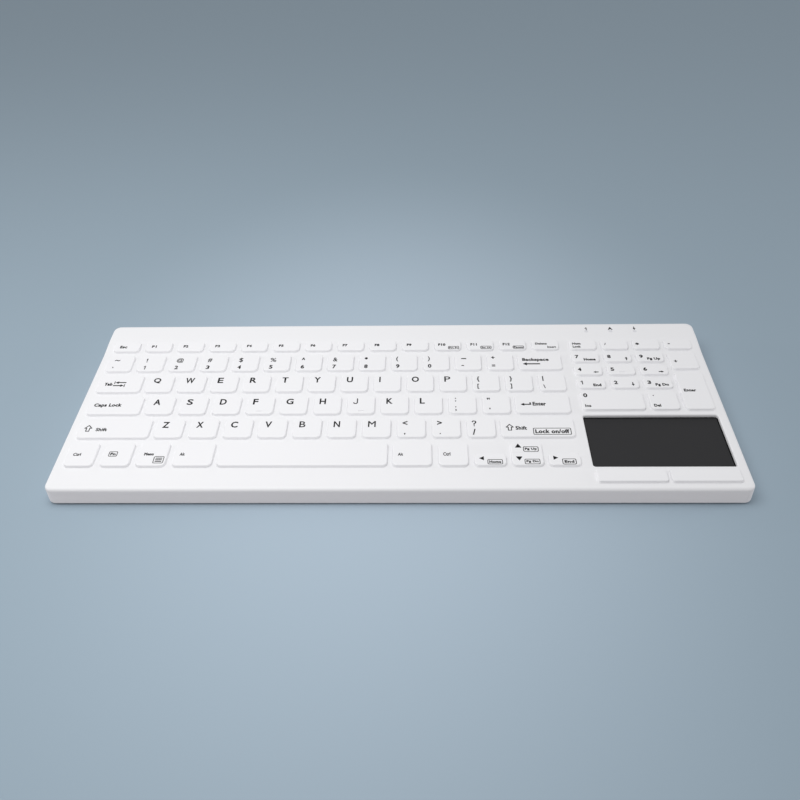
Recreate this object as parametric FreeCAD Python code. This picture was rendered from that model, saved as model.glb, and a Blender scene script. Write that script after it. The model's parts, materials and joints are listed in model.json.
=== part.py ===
import FreeCAD, Part

import math
import os

from FreeCAD import Vector

# Sealed medical keyboard with number pad and touchpad, in millimetres.
#
# Two frames are used. The row frame stands on the floor: X to the right, Y to the back, Z up,
# origin under the middle of the outline. The deck frame lies on the sloping key deck: X to the
# right, Y up the slope, Z square to the deck, origin in the middle of the deck's top face.
# The function keys lie on a short ramp behind the deck, in a third frame turned about its foot.

# Body outline, as seen from above
body_width = 363.4
body_depth = 139.8
corner_radius = 4.6
front_wall_height = 10.4
deck_tilt = 1.5
top_edge_radius = 1.8
bottom_edge_bevel = 0.9
inner_corner_cut = 3.0

# Raised strip along the back edge and the ramp that leads up to it
strip_depth = 14.9
strip_rise = 1.0
ramp_depth = 13.5
crease_radius = 40.0

# Silicone cover
cover_wall = 1.2
mat_thickness = 3.2
lip_width = 5.0
lip_thickness = 0.8

# Key field
key_pitch = 19.0
key_gap = 3.4
side_margin = 5.8
front_margin = 15.7
bottom_row_depth = 17.8
half_key_depth = 9.2
wide_key_gap = 2.6
function_key_width = 16.2
arrow_depth = 9.0
arrow_split = 0.6

# Bottom row from the left: name, width, gap to the next key
bottom_row = [
    ("key_ctrl_left", 15.8, 3.5),
    ("key_fn", 15.8, 3.2),
    ("key_system", 15.9, 3.4),
    ("key_alt_left", 21.2, 2.4),
    ("key_space", 89.9, 2.6),
    ("key_alt_right", 20.8, 3.4),
    ("key_ctrl_right", 15.7, 3.0),
    ("key_arrow_left", 16.8, 2.8),
    ("key_arrow_down", 16.6, 2.5),
]

# Number pad, touchpad and its two buttons
pad_offset = 6.4
pad_key_gap = 2.8
zero_row_depth = 15.5
plus_key_depth = 16.0
touchpad_width = 74.0
touchpad_depth = 39.3
touchpad_margin = 3.0
touchpad_corner = 1.4
touchpad_recess = 2.1
touchpad_thickness = 0.7
mouse_button_depth = 9.0
mouse_button_gap = 1.8

# Key caps
key_rise = 1.5
key_travel = 1.5
contact_gap = 0.1
key_corner = 1.3
key_bevel = 0.55
key_bevel_drop = 0.6
key_clearance = 0.3
bump_length = 3.3
bump_width = 0.8
bump_height = 0.3
bump_setback = 2.4

# Circuit boards and the steel plate under them
board_thickness = 1.6
backplate_thickness = 0.8
board_clearance = 0.6
board_split_gap = 0.8
parts_bay_width = 72.0
parts_bay_depth = 26.0
parts_bay_y = 43.0
ribbon_length = 22.0
ribbon_width = 14.0
ribbon_thickness = 0.3
chip_size = 12.0
chip_height = 1.6
crystal_length = 11.0
crystal_width = 4.6
crystal_height = 3.0
header_length = 14.0
header_width = 5.0
header_height = 3.6
part_spacing = 22.0

# Status lights in the back strip
light_offset = 4.4
light_spacing = 14.9
light_setback = 8.5
light_length = 3.0
light_width = 1.6
light_height = 1.2
light_gap = 0.4
light_skin = 0.8

# Base tray and bottom plate
tray_gap = 0.15
tray_wall = 1.8
tray_floor = 1.6
plate_thickness = 1.6
plate_gap = 0.2
rib_thickness = 1.2
rib_rows = 3
rib_columns = 6

# Flat-head screws, one behind each back foot
screw_radius = 1.0
screw_head_radius = 2.0
screw_head_height = 1.0
screw_length = 3.4
screw_clearance = 0.05
boss_radius = 2.8

# Rubber feet, set in pockets of the bottom plate
foot_height = 0.8
foot_length = 24.0
foot_width = 8.0
foot_corner = 1.5
foot_pocket = 0.4
foot_inset_x = 34.0
foot_inset_y = 13.0

# Hooks along the plate's front edge that catch the tray's floor
hook_length = 10.0
hook_thickness = 1.2
hook_nose = 0.8
hook_gap = 0.2
hook_inset = 1.6

# Cable inlet in the back wall
inlet_x = 0.0
cable_bore_radius = 2.1
bush_width = 7.0
bush_height = 6.0
bush_flange_margin = 0.6
bush_flange_thickness = 1.2
bush_recess = 0.2
bush_clearance = 0.05

# Levels in the row frame
plate_bottom = foot_height
plate_top = plate_bottom + plate_thickness
lip_top = plate_top + lip_thickness
floor_top = plate_top + tray_floor
deck_front_height = plate_bottom + front_wall_height
deck_slope = math.tan(math.radians(deck_tilt))
deck_middle_height = deck_front_height + body_depth / 2 * deck_slope
screw_seat = plate_bottom + foot_pocket
screw_tip = screw_seat + screw_length + screw_head_height

# Levels in the deck frame
mat_bottom = -mat_thickness
key_seat = mat_thickness - key_travel - contact_gap
board_bottom = mat_bottom - board_thickness
stack_bottom = board_bottom - backplate_thickness

# Reach of a cutter that has to pass right through the body
far = 60.0

# Ramp in the deck frame
strip_front = body_depth / 2 - strip_depth
ramp_front = strip_front - ramp_depth
ramp_angle = math.degrees(math.atan(strip_rise / ramp_depth))

# Key field lines in the deck frame
key_width = key_pitch - key_gap
field_left = -body_width / 2 + side_margin
field_right = field_left + key_width + 13.5 * key_pitch
pad_left = field_right + pad_offset
pad_right = body_width / 2 - side_margin
pad_key_width = (pad_right - pad_left - 3 * pad_key_gap) / 4
pad_pitch = pad_key_width + pad_key_gap
bottom_row_front = -body_depth / 2 + front_margin
lower_row_front = bottom_row_front + bottom_row_depth + key_gap
home_row_front = lower_row_front + key_pitch
top_row_front = home_row_front + key_pitch
number_row_front = top_row_front + key_pitch
function_row_front = number_row_front + key_pitch
seven_row_front = function_row_front - pad_key_gap - half_key_depth
four_row_front = seven_row_front - pad_key_gap - half_key_depth
one_row_front = four_row_front - pad_key_gap - half_key_depth
zero_row_front = one_row_front - pad_key_gap - zero_row_depth
plus_front = seven_row_front + half_key_depth - plus_key_depth
touchpad_back = zero_row_front - touchpad_margin
touchpad_front = touchpad_back - touchpad_depth
touchpad_x = (pad_left + pad_right) / 2
button_back = touchpad_front - touchpad_margin
button_width = (pad_right - pad_left - mouse_button_gap) / 2

# Plan lines of the inner pieces, each as its distance from the body's outline
tray_inset = cover_wall + tray_gap
lip_inset = cover_wall + lip_width
cavity_inset = tray_inset + tray_wall
board_inset = cavity_inset + board_clearance
board_right = body_width / 2 - board_inset
board_front = -body_depth / 2 + board_inset
board_back = body_depth / 2 - cavity_inset - bush_flange_thickness - board_clearance
split_x = pad_left - pad_offset / 2
split_y = zero_row_front - touchpad_margin / 2


def box(x0, x1, y0, y1, z0, z1):
    """Block between the given planes."""
    return Part.makeBox(x1 - x0, y1 - y0, z1 - z0, Vector(x0, y0, z0))


def centred_box(x, y, length, width, z0, z1):
    """Block around an upright axis."""
    return box(x - length / 2, x + length / 2, y - width / 2, y + width / 2, z0, z1)


def post(x, y, z0, z1, radius):
    """Upright cylinder."""
    return Part.makeCylinder(radius, z1 - z0, Vector(x, y, z0))


def rounded_block(x0, x1, y0, y1, z0, z1, radius):
    """Block with its four upright edges rounded."""
    block = box(x0, x1, y0, y1, z0, z1)
    upright = [e for e in block.Edges if e.BoundBox.ZLength > (z1 - z0) / 2]
    return block.makeFillet(radius, upright)


def outline_block(inset, z0, z1):
    """The body's rounded outline drawn in by the given inset, as an upright block."""
    x = body_width / 2 - inset
    y = body_depth / 2 - inset
    return rounded_block(-x, x, -y, y, z0, z1, corner_radius - inset)


def inner_block(inset, z0, z1):
    """The body's outline drawn in by the given inset, with cut corners, as an upright block."""
    x = body_width / 2 - inset
    y = body_depth / 2 - inset
    return cut_corner_block(-x, x, -y, y, z0, z1, inner_corner_cut)


def from_deck(shape):
    """Carry a shape from the deck frame to the row frame."""
    placed = shape.copy()
    placed.rotate(Vector(0, 0, 0), Vector(1, 0, 0), deck_tilt)
    placed.translate(Vector(0, 0, deck_middle_height))
    return placed


def from_ramp(shape):
    """Carry a shape from the ramp frame to the row frame."""
    placed = shape.copy()
    placed.rotate(Vector(0, ramp_front, 0), Vector(1, 0, 0), ramp_angle)
    return from_deck(placed)


def under_deck(level):
    """Everything below a level of the deck frame."""
    return from_deck(box(-body_width, body_width, -body_depth, body_depth, level - far, level))


def cut_corner_wire(x0, x1, y0, y1, z, cut):
    """Closed rectangle at height z with its corners cut off."""
    corners = [
        (x0 + cut, y0), (x1 - cut, y0), (x1, y0 + cut), (x1, y1 - cut),
        (x1 - cut, y1), (x0 + cut, y1), (x0, y1 - cut), (x0, y0 + cut),
    ]
    points = [Vector(x, y, z) for x, y in corners]
    return Part.makePolygon(points + [points[0]])


def cut_corner_block(x0, x1, y0, y1, z0, z1, cut):
    """Block with its upright corners cut off."""
    return Part.Face(cut_corner_wire(x0, x1, y0, y1, z0, cut)).extrude(Vector(0, 0, z1 - z0))


def crease_arc(before, corner, after, radius):
    """Arc that rounds the corner of a side profile, as three points along it."""
    towards = (before - corner).normalize()
    away = (after - corner).normalize()
    half = towards.getAngle(away) / 2
    reach = radius / math.tan(half)
    middle = (towards + away).normalize()
    centre = corner + middle * (radius / math.sin(half))
    return corner + towards * reach, centre - middle * radius, corner + away * reach


def under_top_face():
    """Everything under the cover's top face: flat deck, ramp and raised back strip."""
    front = Vector(-body_width, -body_depth, 0)
    foot = Vector(-body_width, ramp_front, 0)
    head = Vector(-body_width, strip_front, strip_rise)
    back = Vector(-body_width, body_depth, strip_rise)
    below_back = Vector(-body_width, body_depth, -far)
    below_front = Vector(-body_width, -body_depth, -far)
    low_arc = crease_arc(front, foot, head, crease_radius)
    high_arc = crease_arc(foot, head, back, crease_radius)
    edges = [
        Part.LineSegment(front, low_arc[0]).toShape(),
        Part.Arc(*low_arc).toShape(),
        Part.LineSegment(low_arc[2], high_arc[0]).toShape(),
        Part.Arc(*high_arc).toShape(),
        Part.LineSegment(high_arc[2], back).toShape(),
        Part.LineSegment(back, below_back).toShape(),
        Part.LineSegment(below_back, below_front).toShape(),
        Part.LineSegment(below_front, front).toShape(),
    ]
    profile = Part.Face(Part.Wire(edges))
    return from_deck(profile.extrude(Vector(2 * body_width, 0, 0)))


def key_table():
    """Every key as node, left, right, front, back and whether it lies on the ramp."""
    table = []

    def add(node, x0, x1, y0, y1, ramp=False):
        table.append((node, x0, x1, y0, y1, ramp))

    def add_run(groups, left, pitch, width, front, depth, ramp=False):
        x = left
        for node, count in groups:
            for _ in range(count):
                add(node, x, x + width, front, front + depth, ramp)
                x += pitch
        return x - pitch + width

    function_groups = [
        ("key_escape", 1), ("keys_f1_to_f4", 4), ("keys_f5_to_f8", 4), ("keys_f9_to_f12", 4),
        ("key_delete", 1),
    ]
    function_pitch = (field_right - field_left - function_key_width) / 13
    add_run(function_groups, field_left, function_pitch, function_key_width,
            function_row_front, half_key_depth, True)

    letter_rows = [
        (number_row_front, 0.0, None, "key_backspace",
         [("keys_grave_to_4", 5), ("keys_5_to_8", 4), ("keys_9_to_equals", 4)]),
        (top_row_front, 1.5, "key_tab", None,
         [("keys_q_to_t", 5), ("keys_y_to_p", 5), ("keys_brackets", 3)]),
        (home_row_front, 1.75, "key_caps_lock", "key_enter",
         [("keys_a_to_g", 5), ("keys_h_to_quote", 6)]),
        (lower_row_front, 2.25, "key_shift_left", "key_shift_right",
         [("keys_z_to_b", 5), ("keys_n_to_slash", 5)]),
    ]
    for front, stagger, left_key, right_key, groups in letter_rows:
        start = field_left + stagger * key_pitch
        end = add_run(groups, start, key_pitch, key_width, front, key_width)
        back = front + key_width
        if left_key:
            add(left_key, field_left, start - wide_key_gap, front, back)
        if right_key:
            add(right_key, end + wide_key_gap, field_right, front, back)

    x = field_left
    arrow_back = bottom_row_front + arrow_depth
    row_back = bottom_row_front + bottom_row_depth
    for node, width, gap in bottom_row:
        back = arrow_back if node.startswith("key_arrow") else row_back
        add(node, x, x + width, bottom_row_front, back)
        if node == "key_arrow_down":
            add("key_arrow_up", x, x + width, arrow_back + arrow_split, row_back)
        x += width + gap
    add("key_arrow_right", x, field_right, bottom_row_front, arrow_back)

    pad_rows = [
        ("keys_pad_top", 4, function_row_front, True),
        ("keys_pad_7_to_9", 3, seven_row_front, False),
        ("keys_pad_4_to_6", 3, four_row_front, False),
        ("keys_pad_1_to_3", 3, one_row_front, False),
    ]
    for node, count, front, ramp in pad_rows:
        add_run([(node, count)], pad_left, pad_pitch, pad_key_width, front, half_key_depth, ramp)
    last_column = pad_right - pad_key_width
    zero_back = zero_row_front + zero_row_depth
    point_left = pad_left + 2 * pad_pitch
    add("key_pad_0", pad_left, point_left - pad_key_gap, zero_row_front, zero_back)
    add("key_pad_point", point_left, point_left + pad_key_width, zero_row_front, zero_back)
    add("key_pad_plus", last_column, pad_right, plus_front, plus_front + plus_key_depth)
    add("key_pad_enter", last_column, pad_right, zero_row_front, plus_front - pad_key_gap)

    button_front = button_back - mouse_button_depth
    add("mouse_button_left", pad_left, pad_left + button_width, button_front, button_back)
    add("mouse_button_right", pad_right - button_width, pad_right, button_front, button_back)
    return table


def key_cap(x0, x1, y0, y1):
    """One key: a straight-sided block with cut corners and a bevel round its top face."""
    top_x0 = x0 + key_bevel
    top_x1 = x1 - key_bevel
    top_y0 = y0 + key_bevel
    top_y1 = y1 - key_bevel
    foot = cut_corner_wire(x0, x1, y0, y1, -key_seat, key_corner)
    shoulder = cut_corner_wire(x0, x1, y0, y1, key_rise - key_bevel_drop, key_corner)
    top = cut_corner_wire(top_x0, top_x1, top_y0, top_y1, key_rise, key_corner)
    return Part.makeLoft([foot, shoulder, top], True, True)


def homing_bump(x0, x1, y0):
    """Small bar on a key top that a finger finds."""
    return centred_box((x0 + x1) / 2, y0 + bump_setback, bump_length, bump_width,
                       0, key_rise + bump_height)


def has_bump(node, index):
    """The F, J and pad 5 keys, by their place in their group."""
    return (node, index) in (("keys_a_to_g", 3), ("keys_h_to_quote", 1), ("keys_pad_4_to_6", 1))


def key_nodes():
    """All keys, gathered by node, in the row frame."""
    nodes = {}
    for node, x0, x1, y0, y1, ramp in key_table():
        group = nodes.setdefault(node, [])
        cap = key_cap(x0, x1, y0, y1)
        if has_bump(node, len(group)):
            cap = cap.fuse(homing_bump(x0, x1, y0)).removeSplitter()
        group.append(from_ramp(cap) if ramp else from_deck(cap))
    return nodes


def key_windows():
    """Cutters for the holes that the keys travel in; the two stacked arrows share one."""
    cutters = []
    c = key_clearance
    for node, x0, x1, y0, y1, ramp in key_table():
        if node == "key_arrow_up":
            continue
        if node == "key_arrow_down":
            y1 = y0 + bottom_row_depth
        hole = cut_corner_block(x0 - c, x1 + c, y0 - c, y1 + c,
                                -2 * mat_thickness, 2 * mat_thickness, key_corner)
        cutters.append(from_ramp(hole) if ramp else from_deck(hole))
    return cutters


def touchpad_block(grow, z0, z1):
    """Block on the touchpad's place, wider than its window by grow on each side."""
    half = touchpad_width / 2 + grow
    return from_deck(rounded_block(touchpad_x - half, touchpad_x + half,
                                   touchpad_front - grow, touchpad_back + grow,
                                   z0, z1, touchpad_corner + grow))


def light_places():
    """Middle of each status light in the deck frame."""
    first = pad_left + pad_key_width / 2 + light_offset
    y = body_depth / 2 - light_setback
    return [(first + i * light_spacing, y) for i in range(3)]


def foot_places():
    """Middle of each rubber foot."""
    x = body_width / 2 - foot_inset_x
    y = body_depth / 2 - foot_inset_y
    return [(i * x, j * y) for i in (-1, 1) for j in (-1, 1)]


def screw_places():
    """The screws stand behind the two back feet."""
    return [(x, y) for x, y in foot_places() if y > 0]


def inlet_height():
    """Height of the cable's axis, midway between the tray's floor and the mat at the back wall."""
    wall_y = body_depth / 2 - cavity_inset
    mat_height = deck_middle_height + wall_y * deck_slope - mat_thickness
    return (floor_top + mat_height) / 2


def inlet_block(grow, y0, y1):
    """Block around the cable's axis, wider than the bush's body by grow on each side."""
    half = bush_height / 2 + grow
    return box(inlet_x - bush_width / 2 - grow, inlet_x + bush_width / 2 + grow, y0, y1,
               inlet_height() - half, inlet_height() + half)


def inlet_hole():
    """Cutter for the bush's hole in the back wall."""
    inner = body_depth / 2 - cavity_inset
    return inlet_block(bush_clearance, inner - bush_flange_thickness, body_depth)


def top_rim(shell):
    """Edges where the top face meets the outer wall, without the ramp's lines across the deck."""
    low = deck_front_height - top_edge_radius
    high = [e for e in shell.Edges if e.BoundBox.ZMin > low]
    inner_y = body_depth / 2 - corner_radius
    return [e for e in high if e.BoundBox.XLength < 2 * corner_radius or abs(e.BoundBox.YMin) > inner_y]


def silicone_cover():
    """Top mat with its key windows, and the skirt and lip that wrap the tray."""
    shell = outline_block(0, plate_bottom, far).common(under_top_face())
    shell = shell.makeFillet(top_edge_radius, top_rim(shell))
    foot_edges = [e for e in shell.Edges if e.BoundBox.ZMax < plate_bottom + bottom_edge_bevel / 2]
    shell = shell.makeChamfer(bottom_edge_bevel, foot_edges)

    inside = outline_block(cover_wall, 0, far).common(under_deck(mat_bottom))
    lip = outline_block(cover_wall / 2, plate_top, lip_top).cut(inner_block(lip_inset, 0, far))
    shell = shell.cut(inside).fuse(lip)

    cutters = key_windows()
    cutters.append(touchpad_block(0, -2 * mat_thickness, mat_thickness))
    for x, y in light_places():
        well = centred_box(x, y, light_length + 2 * light_gap, light_width + 2 * light_gap,
                           -2 * mat_thickness, strip_rise - light_skin)
        cutters.append(from_deck(well))
    cutters.append(inlet_hole())
    return shell.cut(cutters).removeSplitter()


def board_plan(z0, z1):
    """Outline of the board stack in the deck frame."""
    return cut_corner_block(-board_right, board_right, board_front, board_back, z0, z1,
                            inner_corner_cut)


def main_board():
    """Main circuit board, notched for the touchpad's own board."""
    notch = box(split_x, body_width, -body_depth, split_y, -far, far)
    return from_deck(board_plan(board_bottom, mat_bottom).cut(notch))


def touchpad_board():
    """Board of the touchpad and its two buttons, beside the main board."""
    place = box(split_x + board_split_gap, body_width, -body_depth, split_y - board_split_gap, -far, far)
    return from_deck(board_plan(board_bottom, mat_bottom).common(place))


def ribbon_block(grow, z0, z1):
    """Block on the flat cable's place, across the line between the two boards."""
    return centred_box(touchpad_x, split_y, ribbon_width + 2 * grow, ribbon_length + 2 * grow, z0, z1)


def steel_backplate():
    """Stiffening plate with a bay for the parts under the board and one for the flat cable."""
    plate = board_plan(stack_bottom, board_bottom)
    bay = centred_box(0, parts_bay_y, parts_bay_width, parts_bay_depth, -far, far)
    return from_deck(plate.cut([bay, ribbon_block(board_clearance, -far, far)]))


def touchpad_ribbon():
    """Flat cable under the joint between the two boards."""
    return from_deck(ribbon_block(0, board_bottom - ribbon_thickness, board_bottom))


def hanging_part(x, length, width, height):
    """Component under the main board, inside the backplate's bay."""
    return from_deck(centred_box(x, parts_bay_y, length, width, board_bottom - height, board_bottom))


def status_leds():
    """Three lights on the main board, one in each well of the cover."""
    lights = [centred_box(x, y, light_length, light_width, mat_bottom, mat_bottom + light_height)
              for x, y in light_places()]
    return Part.makeCompound([from_deck(light) for light in lights])


def rib_columns_x():
    """Middle of each rib that runs from front to back."""
    x = body_width / 2 - cavity_inset
    step = 2 * x / (rib_columns + 1)
    return [-x + (i + 1) * step for i in range(rib_columns)]


def tray_ribs():
    """Ribs along and across the tray's floor, not yet cut to the backplate's slope."""
    x = body_width / 2 - cavity_inset
    y0 = -body_depth / 2 + cavity_inset
    y1 = parts_bay_y - parts_bay_depth / 2
    root = floor_top - tray_floor / 2
    row_step = (y1 - y0) / rib_rows
    ribs = []
    for i in range(rib_rows):
        row_y = y0 + (i + 1) * row_step - rib_thickness
        ribs.append(centred_box(0, row_y, 2 * x, rib_thickness, root, far))
    for column_x in rib_columns_x():
        ribs.append(box(column_x - rib_thickness / 2, column_x + rib_thickness / 2,
                        y0 - tray_wall / 2, y1 - rib_thickness, root, far))
    return ribs


def base_tray():
    """Rigid tray: floor, wall, ribs that carry the backplate, and screw bosses."""
    tray = outline_block(tray_inset, plate_top, far).common(under_deck(mat_bottom))
    tray = tray.cut(inner_block(cavity_inset, floor_top, far))
    bosses = [post(x, y, lip_top, far, boss_radius) for x, y in screw_places()]
    carriers = bosses[0].multiFuse(bosses[1:] + tray_ribs()).common(under_deck(stack_bottom))
    tray = tray.fuse(carriers)
    cutters = [inlet_hole(), outline_block(0, 0, lip_top).cut(inner_block(lip_inset + tray_gap, 0, far))]
    for x, y in screw_places():
        cutters.append(post(x, y, 0, screw_tip + screw_clearance, screw_radius + screw_clearance))
    for x in hook_places():
        cutters.append(hook_slot(x))
    return tray.cut(cutters).removeSplitter()


def hook_places():
    """Middle of each hook, in every second bay between the tray's ribs."""
    columns = rib_columns_x()
    half_bay = (columns[1] - columns[0]) / 2
    return [x - half_bay for x in columns[::2]] + [columns[-1] + half_bay]


def hook(x):
    """Upright tab with a nose that reaches forward over the tray's floor."""
    front = -body_depth / 2 + lip_inset + hook_inset
    nose_bottom = floor_top + hook_gap
    top = nose_bottom + hook_nose
    tab = box(x - hook_length / 2, x + hook_length / 2, front, front + hook_thickness,
              plate_top - plate_thickness / 2, top)
    nose = box(x - hook_length / 2, x + hook_length / 2, front - hook_nose, front, nose_bottom, top)
    return tab.fuse(nose)


def hook_slot(x):
    """Slot in the tray's floor, long enough for the hook to pass and slide forward."""
    front = -body_depth / 2 + lip_inset + hook_inset
    half = hook_length / 2 + hook_gap
    return box(x - half, x + half, front - hook_gap,
               front + hook_thickness + hook_nose + hook_gap, 0, floor_top + hook_gap)


def foot_block(x, y, grow, z0, z1):
    """Block on a foot's place, wider than the foot by grow on each side."""
    half_x = foot_length / 2 + grow
    half_y = foot_width / 2 + grow
    return cut_corner_block(x - half_x, x + half_x, y - half_y, y + half_y, z0, z1, foot_corner)


def bottom_plate():
    """Flat cover that clamps the silicone lip, with hooks, foot pockets and screw holes."""
    plate = outline_block(cover_wall + plate_gap, plate_bottom, plate_top)
    cutters = []
    for x, y in foot_places():
        cutters.append(foot_block(x, y, screw_clearance, 0, plate_bottom + foot_pocket))
    for x, y in screw_places():
        cutters.append(screw(x, y, screw_clearance))
    return plate.cut(cutters).multiFuse([hook(x) for x in hook_places()]).removeSplitter()


def rubber_feet():
    """Four feet set in the bottom plate; the back ones hide the screws."""
    return Part.makeCompound([foot_block(x, y, 0, 0, screw_seat) for x, y in foot_places()])


def screw(x, y, grow):
    """Flat-head screw, or the hole it needs where grow is its clearance."""
    head_top = screw_seat + screw_head_height
    head = Part.makeCone(screw_head_radius + grow, screw_radius + grow, screw_head_height,
                         Vector(x, y, screw_seat))
    return head.fuse(post(x, y, head_top, screw_tip, screw_radius + grow))


def bottom_screws():
    """Screws from below through the bottom plate into the tray's bosses."""
    return Part.makeCompound([screw(x, y, 0).removeSplitter() for x, y in screw_places()])


def cable_bush():
    """Bush in the back wall: a block with an inner flange and an open bore for the cable."""
    outer = body_depth / 2 - bush_recess
    inner = body_depth / 2 - cavity_inset
    flange = inlet_block(bush_flange_margin, inner - bush_flange_thickness, inner)
    bore = Part.makeCylinder(cable_bore_radius, body_depth, Vector(inlet_x, 0, inlet_height()),
                             Vector(0, 1, 0))
    return inlet_block(0, inner, outer).fuse(flange).cut(bore).removeSplitter()


def all_nodes():
    """Every node by name, fixed pieces first."""
    pad_bottom = -touchpad_recess - touchpad_thickness
    nodes = {
        "silicone_cover": silicone_cover(),
        "touchpad_surface": touchpad_block(-key_clearance, pad_bottom, -touchpad_recess),
        "touchpad_gasket": touchpad_block(-2 * key_clearance, mat_bottom, pad_bottom),
        "touchpad_board": touchpad_board(),
        "touchpad_ribbon": touchpad_ribbon(),
        "main_board": main_board(),
        "status_leds": status_leds(),
        "controller_chip": hanging_part(-part_spacing, chip_size, chip_size, chip_height),
        "clock_crystal": hanging_part(part_spacing, crystal_length, crystal_width, crystal_height),
        "cable_header": hanging_part(0, header_length, header_width, header_height),
        "steel_backplate": steel_backplate(),
        "base_tray": base_tray(),
        "bottom_plate": bottom_plate(),
        "bottom_screws": bottom_screws(),
        "rubber_feet": rubber_feet(),
        "cable_bush": cable_bush(),
    }
    for node, caps in key_nodes().items():
        nodes[node] = caps[0] if len(caps) == 1 else Part.makeCompound(caps)
    return nodes


os.makedirs("parts", exist_ok=True)
for name, shape in all_nodes().items():
    shape.exportStep("parts/" + name + ".step")
    print(name, len(shape.Solids), round(shape.Volume, 2), shape.isValid())
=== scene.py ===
import json
import math

import bmesh
import bpy
from mathutils import Matrix, Vector

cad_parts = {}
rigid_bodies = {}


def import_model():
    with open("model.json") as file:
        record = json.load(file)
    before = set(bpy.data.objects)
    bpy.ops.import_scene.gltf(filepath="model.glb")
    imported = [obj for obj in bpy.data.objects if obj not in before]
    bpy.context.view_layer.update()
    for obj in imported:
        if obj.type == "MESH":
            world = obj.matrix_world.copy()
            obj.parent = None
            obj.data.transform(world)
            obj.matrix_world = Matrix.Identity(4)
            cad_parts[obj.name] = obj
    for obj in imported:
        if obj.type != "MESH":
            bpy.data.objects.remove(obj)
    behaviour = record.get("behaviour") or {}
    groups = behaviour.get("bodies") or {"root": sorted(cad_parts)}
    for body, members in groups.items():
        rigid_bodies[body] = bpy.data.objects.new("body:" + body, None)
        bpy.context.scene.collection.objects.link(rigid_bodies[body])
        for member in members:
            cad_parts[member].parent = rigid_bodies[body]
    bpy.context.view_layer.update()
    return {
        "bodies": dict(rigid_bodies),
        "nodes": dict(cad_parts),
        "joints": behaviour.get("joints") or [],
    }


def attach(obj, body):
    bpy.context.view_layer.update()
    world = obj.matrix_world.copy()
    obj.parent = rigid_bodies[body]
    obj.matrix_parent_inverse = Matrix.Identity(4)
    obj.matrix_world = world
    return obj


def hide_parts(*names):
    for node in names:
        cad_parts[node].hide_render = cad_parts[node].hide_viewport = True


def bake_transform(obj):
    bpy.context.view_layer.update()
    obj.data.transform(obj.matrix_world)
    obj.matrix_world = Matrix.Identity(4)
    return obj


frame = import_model()
print("frame loaded:", len(frame["nodes"]), "nodes")

mm = 0.001

# The deck that the keys stand on, in mm. It is level at first, then bent and tilted at the end of each piece.
deck = {
    "height": 13.0304,       # above the floor at the middle of the body
    "creaseFront": 41.5,     # where the ramp under the function row begins
    "creaseBack": 55.037,    # where it ends, measured along the ramp
    "creaseLength": 2.96,    # length of each soft bend
}


def pressAngle(body):
    # how far the plane that a key is pressed square to leans back
    axis = next(joint["axis"] for joint in frame["joints"] if joint["child"] == body)
    return math.asin(axis[1])


tilt = pressAngle("key_space")
rampAngle = pressAngle("key_escape") - tilt
tiltTurn = Matrix.Rotation(tilt, 3, "X")


def bend(along, start, angle):
    # position and lean after a soft crease of the given angle; along is the way walked
    radius = deck["creaseLength"] / abs(angle)
    walked = along - start + deck["creaseLength"] / 2
    if walked <= 0:
        return along, 0, 0
    if walked < deck["creaseLength"]:
        lean = angle * walked / deck["creaseLength"]
        return start - deck["creaseLength"] / 2 + radius * abs(math.sin(lean)), \
            math.copysign(radius * (1 - math.cos(lean)), angle), lean
    return start + (along - start) * math.cos(angle), (along - start) * math.sin(angle), angle


def deckPoint(x, along, level):
    # a point of the level layout in mm, laid on the bent and tilted deck, in metres
    y, z, lean = bend(along, deck["creaseFront"], rampAngle)
    if along > (deck["creaseFront"] + deck["creaseBack"]) / 2:
        y2, z2, lean2 = bend(along, deck["creaseBack"], -rampAngle)
        turned = Matrix.Rotation(rampAngle, 2)
        step = turned @ Vector((y2 - deck["creaseBack"], z2))
        run = deck["creaseBack"] - deck["creaseFront"]
        y = deck["creaseFront"] + run * math.cos(rampAngle) + step.x
        z = run * math.sin(rampAngle) + step.y
        lean = rampAngle + lean2
    flat = Vector((x, y - level * math.sin(lean), z + level * math.cos(lean)))
    return (tiltTurn @ flat + Vector((0, 0, deck["height"]))) * mm


def layOnDeck(bm):
    for vert in bm.verts:
        vert.co = deckPoint(*vert.co)


def flatPoint(point, onRamp):
    # the way back: a packed key's point in the level layout, in mm
    flat = tiltTurn.transposed() @ (point / mm - Vector((0, 0, deck["height"])))
    if onRamp:
        crease = Vector((0, deck["creaseFront"], 0))
        flat = Matrix.Rotation(-rampAngle, 3, "X") @ (flat - crease) + crease
    return flat


# Ink, silicone and the other finishes

def srgb(red, green, blue):
    def linear(value):
        value /= 255
        return value / 12.92 if value <= 0.04045 else ((value + 0.055) / 1.055) ** 2.4
    return (linear(red), linear(green), linear(blue), 1)


def makeGroup(name, inputs, outputs):
    group = bpy.data.node_groups.new(name, "ShaderNodeTree")
    for label, kind, value in inputs:
        socket = group.interface.new_socket(label, in_out="INPUT", socket_type=kind)
        if value is not None:
            socket.default_value = value
    for label, kind in outputs:
        group.interface.new_socket(label, in_out="OUTPUT", socket_type=kind)
    entry = group.nodes.new("NodeGroupInput")
    leave = group.nodes.new("NodeGroupOutput")
    return group, entry, leave


# What a finish has where its own line doesn't say otherwise
plainLook = {
    "drift": 0.3,            # how far the tone goes towards the worn colour
    "grain": 1500,           # scale of the fine grain
    "glossDrift": 0.08,
    "bump": 0.1,             # strength of the grain
    "bumpDepth": 0.0001,     # and its depth in metres
    "metallic": 0,
    "specular": 0.5,
    "coat": 0,
    "coatRoughness": 0.2,
}

noise = {"driftScale": 22, "driftDetail": 4, "grainDetail": 2}


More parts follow.
